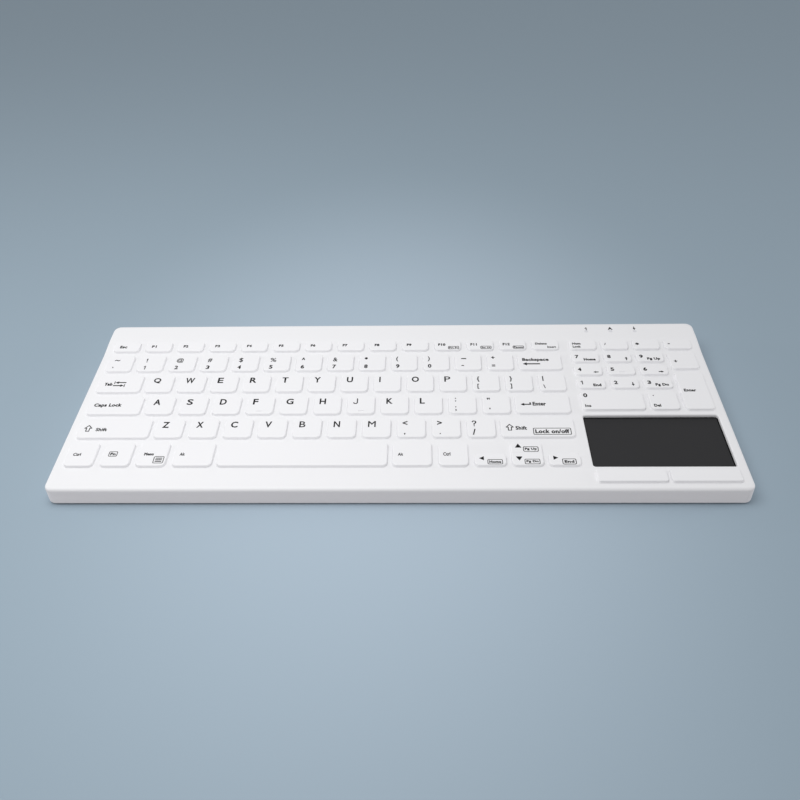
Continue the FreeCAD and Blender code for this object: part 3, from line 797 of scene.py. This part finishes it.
def addHomingBump(bm, plan):
    left, front, right, back = plan
    part = bmesh.new()
    size = Matrix.Diagonal((bump["length"], bump["width"], 2 * bump["height"], 1))
    place = Matrix.Translation(((left + right) / 2, front + bump["setback"], keySize["rise"]))
    bmesh.ops.create_cube(part, size=1, matrix=place @ size)
    bmesh.ops.bevel(part, geom=part.edges[:], offset=bump["round"], offset_type="OFFSET", affect="EDGES",
                    segments=3, profile=0.5, material=-1)
    joinMesh(bm, part)


stacked = ("key_arrow_up", "key_arrow_down")


def stackedArrows():
    # the plan that the two arrow keys share
    up, down = (plans[node][0][0] for node in stacked)
    return min(up[0], down[0]), down[1], max(up[2], down[2]), up[3]


def addStackedKey(bm, plan):
    # one half of the shared pad, cut off square at the slit
    both = stackedArrows()
    addKey(bm, both)
    middle = (plans["key_arrow_up"][0][0][1] + plans["key_arrow_down"][0][0][3]) / 2
    side = 1 if plan[1] > both[1] else -1    # the upper one or the lower one
    cut = bmesh.ops.bisect_plane(bm, geom=bm.verts[:] + bm.edges[:] + bm.faces[:], dist=1e-4,
                                 plane_co=(0, middle + side * keySize["arrowGap"] / 2, 0),
                                 plane_no=(0, -side, 0), clear_outer=True)
    edges = [item for item in cut["geom_cut"] if isinstance(item, bmesh.types.BMEdge)]
    bmesh.ops.edgeloop_fill(bm, edges=edges)
    for edge in edges:
        edge.smooth = False


def makeKeys(node):
    bm = bmesh.new()
    for (plan, height), marks in zip(plans[node], legends[node]):
        key = bmesh.new()
        if node in stacked:
            addStackedKey(key, plan)
        else:
            addKey(key, plan)
        if height > keySize["rise"] + bump["shown"]:
            addHomingBump(key, plan)
        joinMesh(bm, key)
        printing = bmesh.new()
        middle = [(plan[0] + plan[2]) / 2, (plan[1] + plan[3]) / 2]
        if middle[0] < touchpad["plan"][0]:
            shift = drift(middle[0])
            middle = [middle[0] + shift[0], middle[1] + shift[1]]
        for mark in marks:
            addMark(printing, mark, *middle, keySize["rise"])
        restInk(printing, stackedArrows() if node in stacked else plan)
        joinMesh(bm, printing, 1)
    layOnDeck(bm)
    piece = finishPiece(node + "_soft", bm, ["keySilicone", "keyInk"])
    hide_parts(node)
    left, front, right, back = plans[node][0][0]
    middle = (left + right) / 2, (front + back) / 2
    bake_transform(piece)


for node in keyNodes:
    makeKeys(node)
print("keys made:", len(keyNodes), "pieces")


# The cover: one skin with a window for each key, the ramp, the touchpad's recess, and the skirt

cover = {
    "width": 363.4,
    "depth": 139.8,
    "corner": 4.6,
    "cornerSegments": 8,
    "rim": 1.8,              # rounding of the top edge all round
    "rimSteps": 6,
    "wall": 1.2,
    "mat": 3.2,              # thickness of the deck
    "windowEdge": 0.08,      # rounding of a key window's edge
    "padEdge": 0.9,          # rounding of the recess's edge
    "windowSegments": 6,
    "windowSteps": 4,
    "footLevel": 0.8,        # lowest level of the skirt
    "footRound": 0.9,
    "footTurns": (0.4, 0.8, 1.2, math.pi / 2),
    "lipLow": 2.4,
    "lipHigh": 3.2,
    "lipReach": 5.0,
    "creaseLines": 6,        # cuts across each soft bend
}

# marks over the three status lights, by their places on the deck
statusMarks = [
    sign("lowOne", 115.3, 64.0),
    word("A", 128.8, 62.9, 131.5, 65.6),
    sign("thinDown", 145.0, 64.2),
]

# spots where the three status lights shine through the skin
statusLights = {"across": (115.1, 130.0, 144.9), "along": 61.4, "level": -0.01, "radius": 1.2, "sides": 24}


def windowPlans():
    windows = []
    for node, group in plans.items():
        if node not in stacked:
            windows += [plan for plan, height in group]
    windows.append(stackedArrows())
    return windows


def coverWindows():
    # each window as its plan, the rounding of its corners and that of its edge
    clear, beside = keySize["clearance"], keySize["sideClearance"]
    windows = []
    for plan in windowPlans():
        left, front, right, back = plan
        window = left - beside, front - clear, right + beside, back + clear
        windows.append((window, cornerOf(plan) + clear, cover["windowEdge"]))
    windows.append((touchpad["plan"], touchpad["corner"], cover["padEdge"]))
    return windows


# Hole for the cable's bush in the back wall, in mm. The wall's inside is "inner" deep, and a face
# counts as lying at a depth when it is within "reach" of it.
inlet = {"left": -3.55, "low": 4.74, "right": 3.55, "high": 10.84, "inner": 1.5, "reach": 0.4}


def cutInlet(bm, depth):
    # cuts the hole in the large back face at a depth below the outer wall, and gives its ring of edges
    left, low, right, high = (inlet[side] * mm for side in ("left", "low", "right", "high"))
    middle = (cover["depth"] / 2 - depth) * mm
    near = [face for face in bm.faces if abs(face.calc_center_median().y - middle) < inlet["reach"] * mm]
    wall = max(near, key=lambda face: face.calc_area())
    point, normal = wall.verts[0].co, wall.normal
    outline = wall.edges[:]
    corners = []
    for x, z in ((left, low), (right, low), (right, high), (left, high)):
        y = point.y - (normal.x * (x - point.x) + normal.z * (z - point.z)) / normal.y
        corners.append(bm.verts.new((x, y, z)))
    bmesh.ops.delete(bm, geom=[wall], context="FACES_ONLY")
    ring = [bm.edges.new((corners[i - 1], corners[i])) for i in range(4)]
    bmesh.ops.triangle_fill(bm, use_beauty=True, use_dissolve=False, edges=outline + ring)
    for edge in ring:
        edge.smooth = False
    return ring


def openInlet(bm):
    bm.normal_update()
    rings = cutInlet(bm, 0) + cutInlet(bm, inlet["inner"])
    bmesh.ops.bridge_loops(bm, edges=rings)


def openEdges(bm, level):
    # the open edges near a level of the flat deck
    return [edge for edge in bm.edges if edge.is_boundary and abs(edge.verts[0].co.z - level) < 0.1]


def deckSheet(body, windows):
    # the deck's upper face with its windows, cut across where it will bend
    bm = bmesh.new()
    addOutline(bm, grow(body, -cover["rim"]), cover["corner"] - cover["rim"], cover["cornerSegments"])
    for plan, radius, soft in windows:
        addOutline(bm, grow(plan, soft), radius + soft, cover["windowSegments"])
    bmesh.ops.delete(bm, geom=bm.faces[:], context="FACES_ONLY")
    bmesh.ops.triangle_fill(bm, use_beauty=True, use_dissolve=False, edges=bm.edges[:])
    for crease in (deck["creaseFront"], deck["creaseBack"]):
        for i in range(cover["creaseLines"] + 1):
            along = crease + deck["creaseLength"] * (i / cover["creaseLines"] - 0.5)
            bmesh.ops.bisect_plane(bm, geom=bm.verts[:] + bm.edges[:] + bm.faces[:], dist=1e-4,
                                   plane_co=(0, along, 0), plane_no=(0, 1, 0))
    print("deck filled:", len(bm.faces), "faces")
    return bm


def foldWindows(bm, windows):
    # a soft edge and a wall from each window of the upper face down to the lower one
    edges = openEdges(bm, 0)
    for plan, radius, soft in windows:
        outline = grow(plan, soft)
        around = grow(outline, 0.01)
        mine = [edge for edge in edges if all(insidePlan(vert.co, around) for vert in edge.verts)]
        steps = roundOver(-soft, soft, cover["windowSteps"]) + [(-soft, -cover["mat"]), (0, -cover["mat"])]
        foldRing(bm, mine, outline, radius + soft, steps)
    bmesh.ops.remove_doubles(bm, verts=bm.verts[:], dist=1e-4)


def addStatusMarks(bm):
    printing = bmesh.new()
    for mark in statusMarks:
        addMark(printing, mark, 0, 0, 0)
    joinMesh(bm, printing, 1)
    for x in statusLights["across"]:
        spot = bmesh.new()
        place = Matrix.Translation((x, statusLights["along"], statusLights["level"]))
        bmesh.ops.create_cone(spot, cap_ends=True, segments=statusLights["sides"],
                              radius1=statusLights["radius"], radius2=statusLights["radius"],
                              depth=ink["thickness"], matrix=place)
        joinMesh(bm, spot, 2)


def foldSkirt(bm, edges):
    # the outer wall down to its rounded foot, then the inner wall and the lip, in metres
    foot, wall, bottom = cover["footRound"], cover["wall"], cover["footLevel"]
    low, high, lip = cover["lipLow"], cover["lipHigh"], cover["wall"] + cover["lipReach"]
    steps = [(0, foot + bottom)]
    for turn in cover["footTurns"]:
        steps.append((foot * math.cos(turn) - foot, foot * (1 - math.sin(turn)) + bottom))
    steps += [(-wall, bottom), (-wall, low), (-lip, low), (-lip, high), (-wall, high)]
    halfWidth, halfDepth = cover["width"] / 2 * mm, cover["depth"] / 2 * mm
    plan = (-halfWidth, -halfDepth, halfWidth, halfDepth)
    return foldRing(bm, edges, plan, cover["corner"] * mm, [(out * mm, level * mm) for out, level in steps])


def makeCover():
    rim = cover["rim"]
    halfWidth, halfDepth = cover["width"] / 2, cover["depth"] / 2 / math.cos(tilt)
    extra = (deck["creaseBack"] - deck["creaseFront"]) * (1 - math.cos(rampAngle))
    body = (-halfWidth, -halfDepth, halfWidth, halfDepth + extra)
    windows = coverWindows()
    bm = deckSheet(body, windows)
    under = bmesh.ops.duplicate(bm, geom=bm.verts[:] + bm.edges[:] + bm.faces[:])["geom"]
    for item in under:
        if isinstance(item, bmesh.types.BMVert):
            item.co.z = -cover["mat"]
    foldWindows(bm, windows)
    rimSteps = roundOver(rim, rim, cover["rimSteps"])
    outer = foldRing(bm, openEdges(bm, 0), grow(body, -rim), cover["corner"] - rim, rimSteps)
    inner = openEdges(bm, -cover["mat"])
    addStatusMarks(bm)
    layOnDeck(bm)
    last = foldSkirt(bm, outer)
    bmesh.ops.bridge_loops(bm, edges=last + inner)
    openInlet(bm)
    piece = finishPiece("silicone_skin", bm, ["whiteSilicone", "keyInk", "lightWindow"])
    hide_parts("silicone_cover")
    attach(piece, "body")


makeCover()
print("cover made")


# A black ring of painted shade along the foot of the touchpad's recess, where the gap round the pad lies in
# shadow; its outer edge is tucked into the recess's wall

shadeRing = {"tuck": 0.1, "width": 0.6, "low": -2.35, "level": -2.0, "segments": 6}


def makeShadeRing():
    bm = bmesh.new()
    outer, radius = grow(touchpad["plan"], shadeRing["tuck"]), touchpad["corner"] + shadeRing["tuck"]
    inner = -shadeRing["tuck"] - shadeRing["width"]
    addOutline(bm, outer, radius, shadeRing["segments"])
    bmesh.ops.delete(bm, geom=bm.faces[:], context="FACES_ONLY")
    for vert in bm.verts:
        vert.co.z = shadeRing["low"]
    first = bm.edges[:]
    steps = [(0, shadeRing["level"]), (inner, shadeRing["level"]), (inner, shadeRing["low"])]
    last = foldRing(bm, first, outer, radius, steps)
    bmesh.ops.bridge_loops(bm, edges=first + last)
    layOnDeck(bm)
    # the ring takes the near-black finish to paint the shade in the gap
    piece = finishPiece("pad_shade_ring", bm, ["gasketFoamAndShade"])
    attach(piece, "body")


makeShadeRing()
print("seam made")


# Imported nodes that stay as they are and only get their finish

kept = {
    "touchpad_surface": "touchpadBlack",
    "touchpad_gasket": "gasketFoamAndShade",
    "touchpad_board": "circuitBoard",
    "touchpad_ribbon": "flatCable",
    "main_board": "circuitBoard",
    "status_leds": "ledBody",
    "controller_chip": "chipBlack",
    "clock_crystal": "crystalCan",
    "cable_header": "headerWhite",
    "steel_backplate": "zincSteel",
    "base_tray": "trayPlastic",
    "bottom_plate": "basePlastic",
    "bottom_screws": "screwSteel",
    "rubber_feet": "footRubber",
    "cable_bush": "bushRubber",
}
for node, finish in kept.items():
    slots = frame["nodes"][node].data.materials
    slots.clear()
    slots.append(materials[finish])
print("packed nodes finished:", len(kept))


# Floor, light and camera

studio = {
    # the floor's colour is a painted pool of light: lighter near the middle, darker further out
    "floorGlowColour": srgb(173, 190, 204),
    "floorOutsideGlow": srgb(150, 168, 181),
    "floorGlowShape": (1.12, 0.75, 1),
    "floorGlowFade": (0.03, 0.27),     # from where to where the painted pool of light on the floor falls off
    "bounce": srgb(178, 177, 182),
    "floorSize": 12,
    "floorRoughness": 0.8,
    "world": (0.97, 0.97, 0.98),
    "worldStrength": 0.55,
    "lamps": [
        # name, place, aim, size, power, colour
        ("topLamp", (-0.15, -0.06, 0.48), (-0.12, 0, 0), 0.4, 1.36, (1, 1, 1)),
        ("rightLamp", (0.9, 0.1, 0.13), (0, 0, 0), 0.22, 1.1, (1, 1, 1)),
        ("leftLamp", (-0.9, 0.1, 0.13), (0, 0, 0), 0.22, 1.2, (1, 1, 1)),
    ],
}


def seenDirectly(nodes, links):
    # 1 for the camera, and for what it sees mirrored or through glass
    path = nodes.new("ShaderNodeLightPath")
    total = path.outputs["Is Camera Ray"]
    for name in ("Is Glossy Ray", "Is Transmission Ray"):
        add = nodes.new("ShaderNodeMath")
        add.operation = "MAXIMUM"
        links.new(total, add.inputs[0])
        links.new(path.outputs[name], add.inputs[1])
        total = add.outputs[0]
    return total


def makeFloor():
    bm = bmesh.new()
    bmesh.ops.create_grid(bm, x_segments=1, y_segments=1, size=studio["floorSize"] / 2)
    mesh = bpy.data.meshes.new("floor")
    bm.to_mesh(mesh)
    bm.free()
    material = bpy.data.materials.new("floorPaper")
    material.use_nodes = True
    nodes, links = material.node_tree.nodes, material.node_tree.links
    shader = nodes["Principled BSDF"]
    shader.inputs["Roughness"].default_value = studio["floorRoughness"]
    # painted pool of light: the floor's colour darkens with the distance from the middle
    place = nodes.new("ShaderNodeTexCoord")
    shape = nodes.new("ShaderNodeVectorMath")
    shape.operation = "MULTIPLY"
    shape.inputs[1].default_value = studio["floorGlowShape"]
    links.new(place.outputs["Object"], shape.inputs[0])
    away = nodes.new("ShaderNodeVectorMath")
    away.operation = "LENGTH"
    links.new(shape.outputs["Vector"], away.inputs[0])
    glowFalloff = nodes.new("ShaderNodeMapRange")
    glowFalloff.interpolation_type = "SMOOTHSTEP"
    glowFalloff.inputs["From Min"].default_value, glowFalloff.inputs["From Max"].default_value = studio["floorGlowFade"]
    links.new(away.outputs["Value"], glowFalloff.inputs["Value"])
    tone = nodes.new("ShaderNodeMix")
    tone.data_type = "RGBA"
    tone.inputs["A"].default_value, tone.inputs["B"].default_value = studio["floorGlowColour"], studio["floorOutsideGlow"]
    links.new(glowFalloff.outputs["Result"], tone.inputs["Factor"])
    seen = seenDirectly(nodes, links)
    pick = nodes.new("ShaderNodeMix")
    pick.data_type = "RGBA"
    pick.inputs["A"].default_value = studio["bounce"]
    links.new(tone.outputs["Result"], pick.inputs["B"])
    links.new(seen, pick.inputs["Factor"])
    links.new(pick.outputs["Result"], shader.inputs["Base Color"])
    mesh.materials.append(material)
    floor = bpy.data.objects.new("floor", mesh)
    bpy.context.scene.collection.objects.link(floor)


def makeLamp(name, place, aim, size, power, colour):
    lamp = bpy.data.lights.new(name, "AREA")
    lamp.energy = power
    lamp.size = size
    lamp.color = colour
    holder = bpy.data.objects.new(name, lamp)
    holder.location = place
    holder.rotation_euler = (Vector(aim) - Vector(place)).to_track_quat("-Z", "Y").to_euler()
    bpy.context.scene.collection.objects.link(holder)


def makeWorld():
    world = bpy.data.worlds.new("studioAir")
    world.use_nodes = True
    background = world.node_tree.nodes["Background"]
    background.inputs["Color"].default_value = (*studio["world"], 1)
    background.inputs["Strength"].default_value = studio["worldStrength"]
    bpy.context.scene.world = world


camera = {
    "lens": 37.924,
    "sensor": 36,
    "nearest": 0.01,
    "place": (14.5228, -360.5817, 315.8771),    # from the deck's middle, in mm
    "pitch": 0.7206512,
    "heading": -0.0378021,
    "roll": -0.0289393,
}


def makeCamera():
    pitch, heading, roll = camera["pitch"], camera["heading"], camera["roll"]
    ahead = Vector((math.sin(heading), math.cos(heading), 0))
    side = Vector((math.cos(heading), -math.sin(heading), 0))
    look = ahead * math.cos(pitch) - Vector((0, 0, math.sin(pitch)))
    up = ahead * math.sin(pitch) + Vector((0, 0, math.cos(pitch)))
    right = side * math.cos(roll) + up * math.sin(roll)
    top = up * math.cos(roll) - side * math.sin(roll)
    turn = tiltTurn @ Matrix((right, top, -look)).transposed()
    place = (tiltTurn @ Vector(camera["place"]) + Vector((0, 0, deck["height"]))) * mm
    lens = bpy.data.cameras.new("camera")
    lens.lens = camera["lens"]
    lens.sensor_width = camera["sensor"]
    lens.sensor_fit = "HORIZONTAL"
    lens.clip_start = camera["nearest"]
    holder = bpy.data.objects.new("camera", lens)
    holder.matrix_world = Matrix.Translation(place) @ turn.to_4x4()
    bpy.context.scene.collection.objects.link(holder)
    bpy.context.scene.camera = holder


makeFloor()
for lampValues in studio["lamps"]:
    makeLamp(*lampValues)
makeWorld()
makeCamera()
bpy.context.scene.view_settings.view_transform = "Standard"
print("studio ready")
